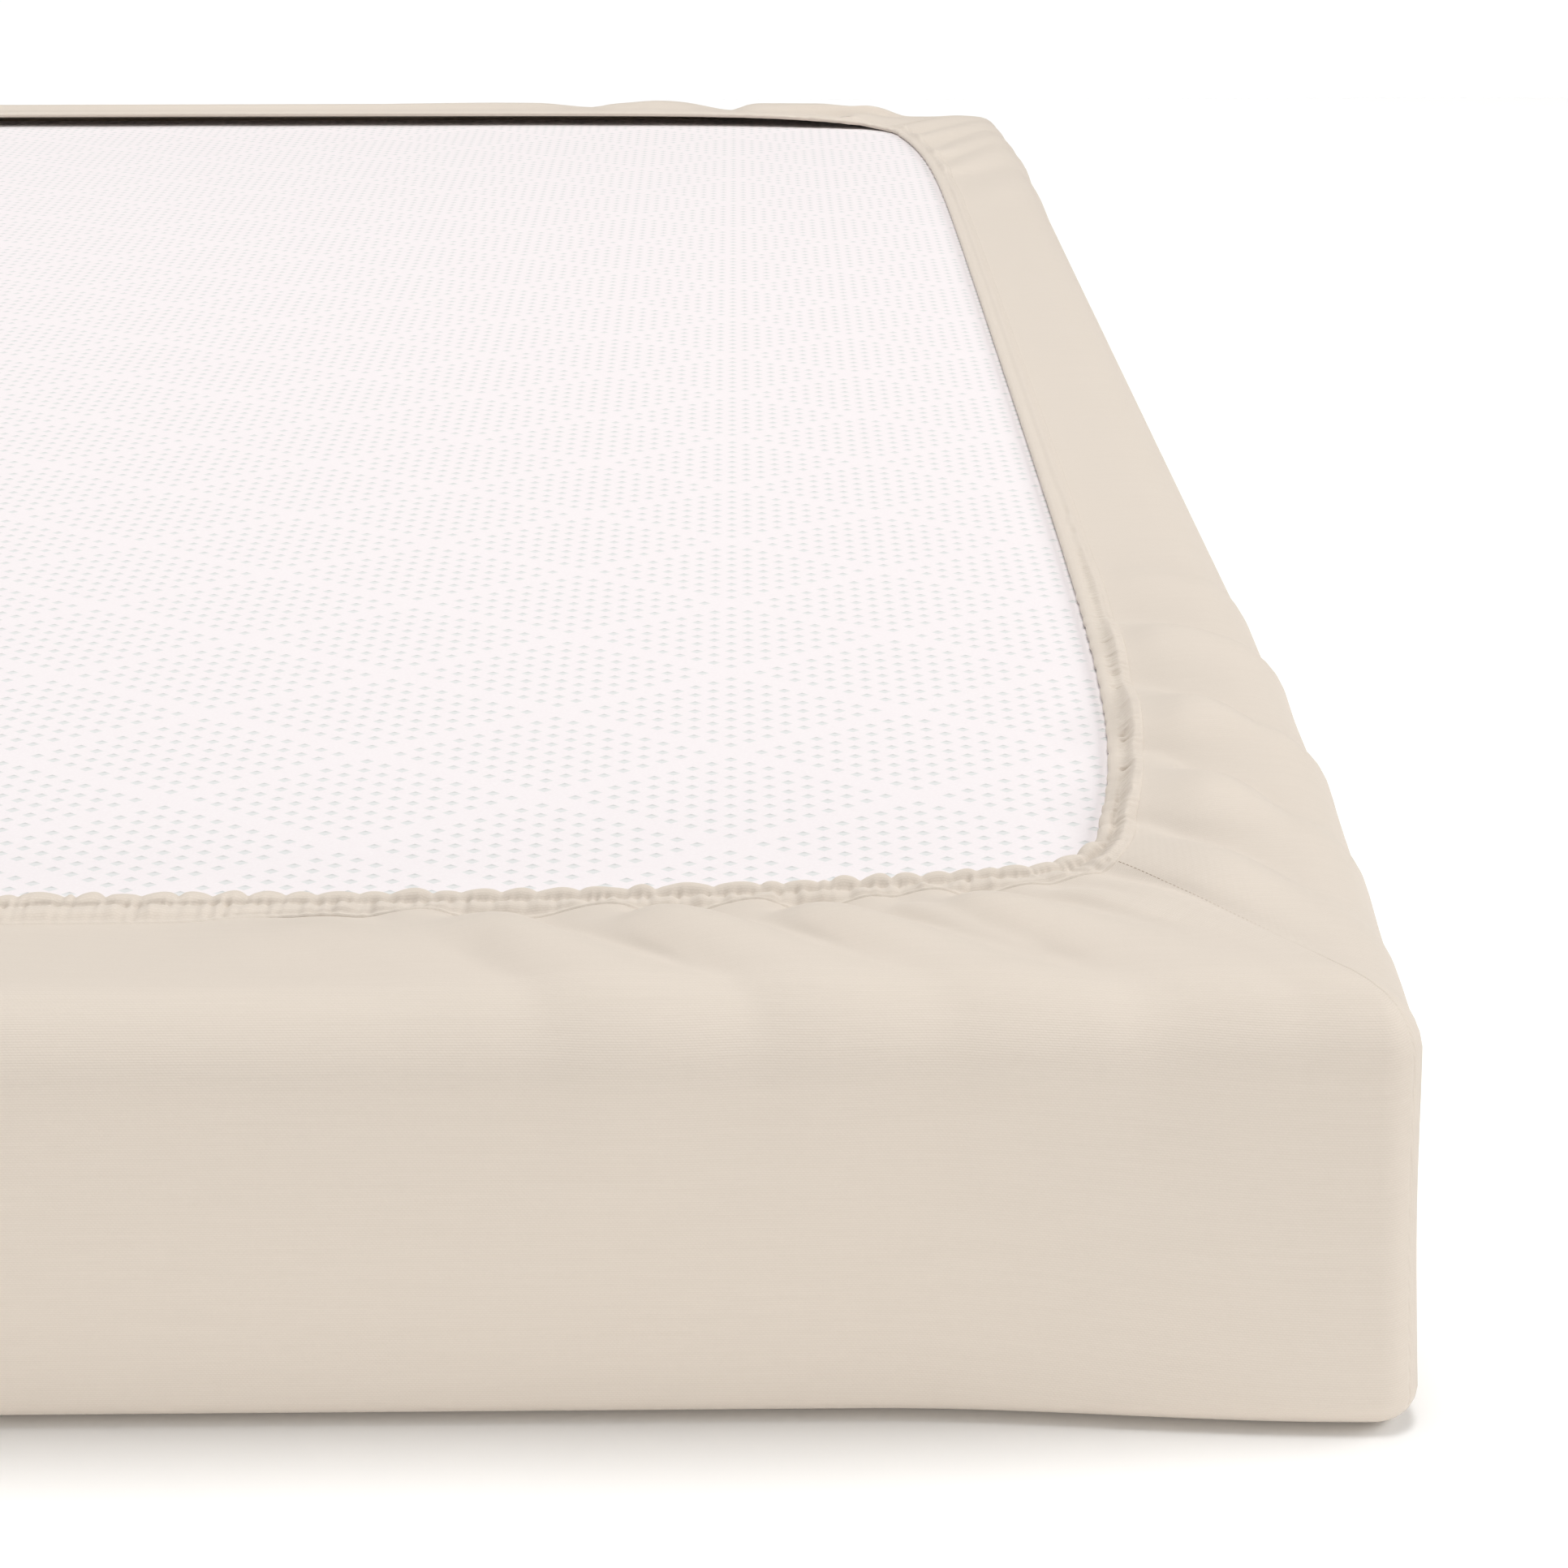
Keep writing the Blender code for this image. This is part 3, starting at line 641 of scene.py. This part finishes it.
def hem():
    """The hem's piece, a closed tunnel all the way round."""
    c = Round(HEM_STEPS)
    lip = c.hem_line()
    run = line_run(lip)
    length = run[-1] + np.linalg.norm(lip[-1] - lip[0])
    seam_run = run[[np.flatnonzero(c.at_seam & (c.sides == side).all(axis=1))[0]
                    for side in ((1, -1), (1, 1), (-1, 1), (-1, -1))]]
    from_seam = (run - seam_run[0]) / MM              # + up the right side, - along the front
    from_any = np.min(np.abs((run[:, None] - seam_run + length / 2) % length - length / 2),
                      axis=1)
    on_end = c.turn < SEAM_AT
    on_front = on_end & ~c.far
    ruffled = ruffle_share(from_any, on_front, on_end)
    gathered = ease((GATHER_REACH - from_any) / GATHER_FADE)
    gathered = np.where(on_front, np.maximum(gathered, ruffled), SIDE_GATHER * gathered)
    puffed = np.where(on_end, on_front * ease((PUFF_REACH - from_any) / PUFF_FADE),
                      ~c.far * np.exp(-(from_any / SIDE_PUFF) ** 4))
    lobe, notch, pinch = lip_ruffles(run, length, seam_run[0])
    small, mid, tiny = (waves(run, length, *kind)
                        for kind in (SMALL_WAVES, MID_WAVES, TINY_WAVES))

    base = MATTRESS_TOP + REST_GAP + far_lift(lip, LIFT)
    width = hem_width(c) / MM
    outer_folds = fold_height(lip + c.out * hem_width(c)[:, None]) * hem_lifted(c) / MM
    dips = np.minimum(outer_folds, 0.0)
    sway = (-LIP_SWAY * (lobe - LOBE_MEAN) * ruffled + LIP_WANDER * mid * gathered) * MM
    pits = sum(depth * bell(from_seam, place, radius) for place, depth, radius in PITS)
    dents = DENT_DEEP * (0.5 + 0.5 * np.cos(run / DENT_PITCH * 2.0 * math.pi + mid)) ** 2
    dents = dents * ~on_end * ease((DENT_REACH - np.abs(from_seam * MM - DENT_MIDDLE))
                                   / DENT_FADE)
    arched = puffed * ease(outer_folds / ARCH_FULL) * on_front
    hinge = HINGE * (1.0 - SIDE_HINGE_LOSS * towards_side(c, LIFT_TURN))
    roll_high = (ROLL_HIGH + ROLL_PUFF * puffed + ROLL_LOBE * (lobe - LOBE_LEVEL) * ruffled
                 - ROLL_NOTCH * notch * ruffled)
    band_high = (BAND_HIGH + BAND_PUFF * puffed
                 + (BAND_WAVE + PUFF_WAVE * puffed) * mid * gathered)

    def top(part):
        """Height over the base, in mm, at a part of the hem's width outwards from the lip."""
        roll = roll_high * at_part(part, ROLL_AT, BLUNT)
        band = band_high * at_part(part, BAND_AT, BLUNT)
        low = ease((part - RIM_FROM) / RIM_SPAN)
        floor = (FLOOR_HIGH - FLOOR_PUFF * puffed) * (1.0 - low) + RIM_HIGH * low
        height = either(either(roll, band, BAND_SOFT), floor, FLOOR_SOFT)
        taken = ease((part - hinge) / (HINGE_END - hinge))
        height = height + outer_folds * taken
        height = height + at_part(part, PUCKERS_AT) * gathered * (PUCKER_SMALL * small
                                                                  + PUCKER_TINY * tiny)
        height = height + PINCH_HIGH * pinch * ruffled * at_part(part, PINCHES_AT)
        height = height + BAND_PUCKER * small * gathered * at_part(part, BAND_PUCKERS_AT)
        height = height - PIT_DEEP * pits * at_part(part, PITS_AT)
        height = height - dents * at_part(part, DENTS_AT)
        from_edge = (1.0 - part) * width
        height = height - ARCH_DEEP * arched * bell(from_edge, *ARCH_AT)
        height = height - EDGE_DROP * ease(1.0 - from_edge / EDGE_DROP_WIDE)
        ridge = (RIDGE_HIGH + RIDGE_ARCH * arched) * bell(from_edge, *RIDGE_AT)
        return np.maximum(height, LEAST_HIGH + dips * taken) + ridge

    wall = top(TOP_PARTS[-1])
    section = [(UNDER_PART, np.zeros(c.count))]
    section += [(part, share * top(behind)) for part, behind, share in LIP_RINGS]
    section += [(part, top(part)) for part in TOP_PARTS]
    section += [(part, dips + share * (wall - dips)) for part, share in WALL_RINGS]
    rings = []
    for part, height in section:
        out = sway * (1.0 - ease(part / SWAY_END)) + part * width * MM
        rings.append(np.column_stack((lip + c.out * out[:, None], base + height * MM)))
    steps = np.linalg.norm(np.diff(np.array(rings), axis=0), axis=2).mean(axis=1)
    across = np.concatenate(((0.0,), np.cumsum(steps)))

    def uvs(loops, which):
        row, column = loops // c.count, loops % c.count
        wrapped = (column == 0) & (which == c.count - 1)
        u = np.where(wrapped, length, run[column])
        back = (row == 0) & (np.tile((0, 0, 1, 1), len(loops) // 4) == 1)
        v = across[row] + np.where(back, across[-1] + UNDERSIDE, 0.0)
        plain, swapped = np.column_stack((u, v)), np.column_stack((v, u))
        return np.where(on_end[which][:, None], plain, swapped)

    return rows_to_mesh("sheet_hem", rings, uvs, close_ring=True)


# ---- the mattress inside ----------------------------------------------------------------
MATTRESS_STEPS = ((0.020, 0.060, 0.3, 0.3),) * 4
FACE_RING = 0.5                    # the lower face's ring, as a share of its outline
TOP_RINGS = (0.96, 0.92, 0.88, 0.84, 0.8, 0.72, 0.64, 0.56, 0.48, 0.4, 0.3, 0.2, 0.1)
DISH, DISH_X, DISH_X_SHIFT, DISH_Y = 0.00018, 39.0, 1.0, 58.0    # its slightly uneven top
DISH_MIDDLE = 0.0003


def mattress():
    """The mattress's piece, plain but for the slightly uneven face that shows."""
    c = Round(MATTRESS_STEPS)
    gap = CLOTH + SIDE_GAP
    low = CLOTH + REST_GAP
    big, small = EDGE_ROUND - CLOTH, FOOT_ROUND - CLOTH
    rings = [np.column_stack((c.foot_line(gap + small) * FACE_RING, np.full(c.count, low)))]
    for angle in np.linspace(0.0, math.pi / 2.0, 5):
        plan = c.foot_line(gap + small * (1.0 - math.sin(angle)))
        rings.append(np.column_stack((plan, np.full(c.count, low + small
                                                    * (1.0 - math.cos(angle))))))
    for angle in np.linspace(0.0, math.pi / 2.0, 6):
        plan = c.edge_line(gap + big * (1.0 - math.cos(angle)))
        rings.append(np.column_stack((plan, np.full(c.count, MATTRESS_TOP - big
                                                    * (1.0 - math.sin(angle))))))
    edge = c.edge_line(gap + big)
    for share in TOP_RINGS:
        plan = edge * share
        soft = DISH * (np.sin(plan[:, 0] * DISH_X + DISH_X_SHIFT)
                       * np.sin(plan[:, 1] * DISH_Y) - 1.0)
        rings.append(np.column_stack((plan, MATTRESS_TOP + soft)))
    hubs = ((0.0, 0.0, low), (0.0, 0.0, MATTRESS_TOP - DISH_MIDDLE))
    points = np.vstack(rings + [np.array(hubs)])

    def uvs(loops, which):
        return points[loops][:, :2]

    return rows_to_mesh("mattress_cover", rings, uvs, first_hub=hubs[0], last_hub=hubs[1])


# ---- materials -------------------------------------------------------------------------
class Nodes:
    """A short way to write a material's nodes."""

    def __init__(self, name):
        self.material = bpy.data.materials.new(name)
        self.material.use_nodes = True
        self.tree = self.material.node_tree
        self.shader = self.tree.nodes["Principled BSDF"]

    def put(self, socket, value):
        if isinstance(value, bpy.types.NodeSocket):
            self.tree.links.new(value, socket)
        else:
            socket.default_value = value

    def math(self, operation, *values, clamp=False):
        node = self.tree.nodes.new("ShaderNodeMath")
        node.operation, node.use_clamp = operation, clamp
        for socket, value in zip(node.inputs, values):
            self.put(socket, value)
        return node.outputs[0]

    def node(self, kind, **inputs):
        node = self.tree.nodes.new(kind)
        for name, value in inputs.items():
            self.put(node.inputs[name.replace("_", " ")], value)
        return node

    def mix(self, factor, one, other):
        node = self.tree.nodes.new("ShaderNodeMix")
        node.data_type = "RGBA"
        sockets = [s for s in node.inputs if s.enabled]
        for socket, value in zip(sockets, (factor, one, other)):
            self.put(socket, value)
        return [s for s in node.outputs if s.enabled][0]

    def surface(self, colour, **values):
        """The shader's colour, a value or another node's, and its plain values."""
        self.put(self.shader.inputs["Base Color"], colour)
        for name, value in values.items():
            self.put(self.shader.inputs[name.replace("_", " ")], value)

    def bump(self, height, distance, strength):
        node = self.node("ShaderNodeBump", Height=height, Distance=distance,
                         Strength=strength)
        self.put(self.shader.inputs["Normal"], node.outputs[0])


# Colours in pairs, which a pattern mixes between, and a tint mixed in by a faint cloud
JERSEY_COLOURS = (0.553, 0.486, 0.417, 1.0), (0.636, 0.569, 0.497, 1.0)
JERSEY_TINT, JERSEY_CLOUD = (0.60, 0.50, 0.40, 1.0), 0.10
TICKING_COLOURS = (0.735, 0.685, 0.690, 1.0), (0.790, 0.750, 0.750, 1.0)
TICKING_TINT, TICKING_CLOUD = (0.75, 0.68, 0.69, 1.0), 0.15
# The dimples' own grey, then a darker grey that is painted shade on each dimple's far edge
DIMPLE_AND_SHADED_RIM_COLOURS = (0.650, 0.648, 0.640, 1.0), (0.520, 0.520, 0.512, 1.0)
# The thread's colours are darker than the cloth's: painted shade that makes each corner seam read
# as a dark dashed line
SHADED_THREAD_COLOURS = (0.50, 0.425, 0.35, 1.0), (0.58, 0.50, 0.42, 1.0)
FLOOR_COLOUR = (0.98, 0.975, 0.965, 1.0)
# Knit of the jersey: height of a course and width of a wale, what a stitch's height is made of,
# streaks per metre across and along, and how stitch, fuzz and streaks share the shade
COURSE, WALE = 0.00098, 0.0016
COURSE_POWER, WALE_LOW, WALE_RISE = 0.7, 0.62, 0.38
STREAK_U, STREAK_V = 14.0, 420.0
STITCH_SHADE, FUZZ_SHADE, STREAK_SHADE, FUZZ_HIGH = 0.55, 0.35, 0.30, 0.5
# Lozenges of dimples in the ticking: one lozenge's middle and size, in metres, then the steps
# of its dimples, as a share of it, how many there are to each side, and half a dimple's size
LOZENGE_AT, LOZENGE = (0.28265, -0.56945), (0.1614, 0.1071)
DIMPLE_STEP, DIMPLE_COUNT, DIMPLE_X, DIMPLE_Y = 0.1037, 4.0, 3.3, 2.6     # sizes in mm
# Where a dimple's grey fades out at its edge, then the span towards its far edge over which
# painted shade darkens it
DIMPLE_EDGE, SHADED_RIM_SPAN = (1.1, 0.85), (0.6, 1.7)
TICKING_FUZZ = 0.25


def jersey():
    """Beige knitted cotton: fine rows of stitches along the cloth, faint unevenness."""
    n = Nodes("beige_jersey")
    uv = n.node("ShaderNodeUVMap")
    uv.uv_map = "UVMap"
    split = n.node("ShaderNodeSeparateXYZ", Vector=uv.outputs[0])
    u, v = split.outputs[0], split.outputs[1]
    course = n.math("DIVIDE", v, COURSE)
    row = n.math("FLOOR", course)
    odd = n.math("MULTIPLY", n.math("MODULO", row, 2.0), 0.5)
    wale = n.math("ADD", n.math("DIVIDE", u, WALE), odd)
    rise_v = n.math("SINE", n.math("MULTIPLY", n.math("FRACT", course), math.pi))
    rise_u = n.math("SINE", n.math("MULTIPLY", n.math("FRACT", wale), math.pi))
    stitch = n.math("MULTIPLY", n.math("POWER", n.math("ABSOLUTE", rise_v), COURSE_POWER),
                    n.math("ADD", WALE_LOW, n.math("MULTIPLY", n.math("ABSOLUTE", rise_u),
                                                   WALE_RISE)))
    place = n.node("ShaderNodeTexCoord").outputs["Object"]
    fuzz = n.node("ShaderNodeTexNoise", Vector=place, Scale=1100.0, Detail=2.0)
    cloud = n.node("ShaderNodeTexNoise", Vector=place, Scale=9.0, Detail=3.0)
    streak_at = n.node("ShaderNodeCombineXYZ", X=n.math("MULTIPLY", u, STREAK_U),
                       Y=n.math("MULTIPLY", v, STREAK_V))
    streak = n.node("ShaderNodeTexNoise", Vector=streak_at.outputs[0], Scale=1.0, Detail=2.0)
    shade = n.math("ADD", n.math("MULTIPLY", stitch, STITCH_SHADE),
                   n.math("MULTIPLY", fuzz.outputs[0], FUZZ_SHADE))
    shade = n.math("ADD", shade, n.math("MULTIPLY", streak.outputs[0], STREAK_SHADE),
                   clamp=True)
    colour = n.mix(n.math("MULTIPLY", cloud.outputs[0], JERSEY_CLOUD),
                   n.mix(shade, *JERSEY_COLOURS), JERSEY_TINT)
    n.surface(colour, Roughness=0.92, Specular_IOR_Level=0.25, Sheen_Weight=0.12,
              Sheen_Roughness=0.5)
    height = n.math("ADD", stitch, n.math("MULTIPLY", fuzz.outputs[0], FUZZ_HIGH))
    n.bump(height, 0.00010, 0.5)
    return n.material


def ticking():
    """White knitted mattress cover: small grey dimples in lozenges between blank bands, each with
    painted shade on its far edge.
    """
    n = Nodes("white_ticking")
    place = n.node("ShaderNodeTexCoord").outputs["Object"]
    split = n.node("ShaderNodeSeparateXYZ", Vector=place)
    x, y = (n.math("DIVIDE", n.math("SUBTRACT", split.outputs[axis], LOZENGE_AT[axis]),
                   LOZENGE[axis]) for axis in range(2))
    gaps = []
    for joined in (n.math("ADD", x, y), n.math("SUBTRACT", x, y)):
        cell = n.math("SUBTRACT", joined, n.math("ROUND", joined))
        nearest = n.math("ROUND", n.math("DIVIDE", cell, DIMPLE_STEP))
        nearest = n.math("MAXIMUM", n.math("MINIMUM", nearest, DIMPLE_COUNT), -DIMPLE_COUNT)
        gaps.append(n.math("SUBTRACT", cell, n.math("MULTIPLY", nearest, DIMPLE_STEP)))
    across, along = (n.math("MULTIPLY", n.math(joined, gaps[0], gaps[1]), size / 2.0 / MM)
                     for joined, size in zip(("ADD", "SUBTRACT"), LOZENGE))
    reach = n.math("ADD", n.math("DIVIDE", n.math("ABSOLUTE", across), DIMPLE_X),
                   n.math("DIVIDE", n.math("ABSOLUTE", along), DIMPLE_Y))
    # A dimple's shape, and painted shade that darkens its far edge, where its recess lies in
    # shade
    dimple, shaded_rim = (n.node("ShaderNodeMapRange", Value=value, From_Min=low,
                          From_Max=high).outputs[0]
                   for value, (low, high) in ((reach, DIMPLE_EDGE), (along, SHADED_RIM_SPAN)))
    fuzz = n.node("ShaderNodeTexNoise", Vector=place, Scale=900.0, Detail=2.0)
    cloud = n.node("ShaderNodeTexNoise", Vector=place, Scale=14.0, Detail=2.0)
    white = n.mix(n.math("MULTIPLY", cloud.outputs[0], TICKING_CLOUD),
                  n.mix(fuzz.outputs[0], *TICKING_COLOURS), TICKING_TINT)
    n.surface(n.mix(dimple, white, n.mix(shaded_rim, *DIMPLE_AND_SHADED_RIM_COLOURS)), Roughness=0.85,
              Specular_IOR_Level=0.25, Sheen_Weight=0.05)
    height = n.math("SUBTRACT", n.math("MULTIPLY", fuzz.outputs[0], TICKING_FUZZ), dimple)
    n.bump(height, 0.00025, 0.3)
    return n.material


def thread():
    """The seams' sewing thread, coloured darker than the cloth as painted shade of the seam's
    dips.
    """
    n = Nodes("beige_thread")
    place = n.node("ShaderNodeTexCoord").outputs["Object"]
    fuzz = n.node("ShaderNodeTexNoise", Vector=place, Scale=2500.0, Detail=2.0)
    n.surface(n.mix(fuzz.outputs[0], *SHADED_THREAD_COLOURS), Roughness=0.7)
    n.bump(fuzz.outputs[0], 0.0001, 0.4)
    return n.material


def floor_finish():
    """The floor's matt white."""
    n = Nodes("studio_floor")
    n.surface(FLOOR_COLOUR, Roughness=0.95, Specular_IOR_Level=0.1)
    return n.material


# ---- making ----------------------------------------------------------------------------
beige, white, sewing = jersey(), ticking(), thread()

sheet, cloth_rows, seam_columns = cloth()
sheet.data.materials.append(beige)
seams = stitches(cloth_rows, seam_columns)
seams.data.materials.append(sewing)
band = hem()
band.data.materials.append(beige)
inside = mattress()
inside.data.materials.append(white)

for piece in (sheet, band):
    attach(piece, "root")
    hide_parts("fitted_sheet")
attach(seams, "root")
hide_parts("fitted_sheet")
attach(inside, "root")
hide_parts("mattress")

# ---- floor, light and camera -----------------------------------------------------------
FLOOR_HALF, FLOOR_LOW = 2.2, 0.0004
# Name, place, target, sizes and power of each light
LIGHTS = (
    ("soft_over", (0.3, -0.2, 6.0), (0.2, -0.2, 0.1), 3.0, 3.0, 290.0),
    ("soft_back", (-3.4, 3.4, 3.6), (0.2, -0.3, 0.1), 3.0, 2.5, 110.0),
    ("soft_front", (0.0, -5.0, 0.35), (0.0, 0.0, 0.05), 7.0, 0.6, 132.0),
    ("soft_right", (5.0, -0.6, 2.9), (0.2, 0.0, 0.1), 4.5, 3.0, 190.0),
    ("soft_left", (-5.0, -0.6, 2.9), (0.2, 0.0, 0.1), 4.5, 3.0, 60.0),
)
BACKDROP = (1.0, 1.0, 1.0, 1.0), 1.02      # colour and strength, seen by the camera only
# The photo's view: focal length and picture width in pixels, film width in mm, then the
# camera's place, and its tilt below level and its turn in radians
FOCAL, PICTURE, FILM = 3800.0, 1932.0, 36.0
CAMERA_AT, CAMERA_TILT, CAMERA_TURN = (0.449413, -2.019078, 0.666276), 0.375106, -0.014339
CLIP = 0.05, 60.0

ground = bpy.data.meshes.new("studio_floor")
ground.from_pydata([(x * FLOOR_HALF, y * FLOOR_HALF, 0.0)
                    for x, y in ((-1, -1), (1, -1), (1, 1), (-1, 1))], [], [(0, 1, 2, 3)])
ground = bpy.data.objects.new("studio_floor", ground)
ground.location.z = -FLOOR_LOW
bpy.context.scene.collection.objects.link(ground)
ground.data.materials.append(floor_finish())


def area_light(name, place, target, size_x, size_y, power):
    """A rectangular light turned towards its target."""
    lamp = bpy.data.lights.new(name, "AREA")
    lamp.shape, lamp.size, lamp.size_y, lamp.energy = "RECTANGLE", size_x, size_y, power
    thing = bpy.data.objects.new(name, lamp)
    thing.location = place
    direction = np.array(target, float) - np.array(place, float)
    thing.rotation_euler = Vector(direction).to_track_quat("-Z", "Y").to_euler()
    bpy.context.scene.collection.objects.link(thing)


for light in LIGHTS:
    area_light(*light)

world = bpy.data.worlds.new("studio")
bpy.context.scene.world = world
world.use_nodes = True
sky = world.node_tree.nodes["Background"]
sky.inputs[0].default_value = BACKDROP[0]
seen = world.node_tree.nodes.new("ShaderNodeLightPath")
level = world.node_tree.nodes.new("ShaderNodeMapRange")
level.inputs["To Min"].default_value, level.inputs["To Max"].default_value = 0.0, BACKDROP[1]
world.node_tree.links.new(seen.outputs["Is Camera Ray"], level.inputs["Value"])
world.node_tree.links.new(level.outputs[0], sky.inputs[1])
bpy.context.scene.view_settings.view_transform = "Standard"

lens = bpy.data.cameras.new("view")
lens.sensor_width = FILM
lens.lens = FOCAL / PICTURE * FILM
lens.clip_start, lens.clip_end = CLIP
camera = bpy.data.objects.new("view", lens)
camera.location = CAMERA_AT
camera.rotation_euler = Euler((math.pi / 2.0 - CAMERA_TILT, 0.0, CAMERA_TURN))
bpy.context.scene.collection.objects.link(camera)
bpy.context.scene.camera = camera
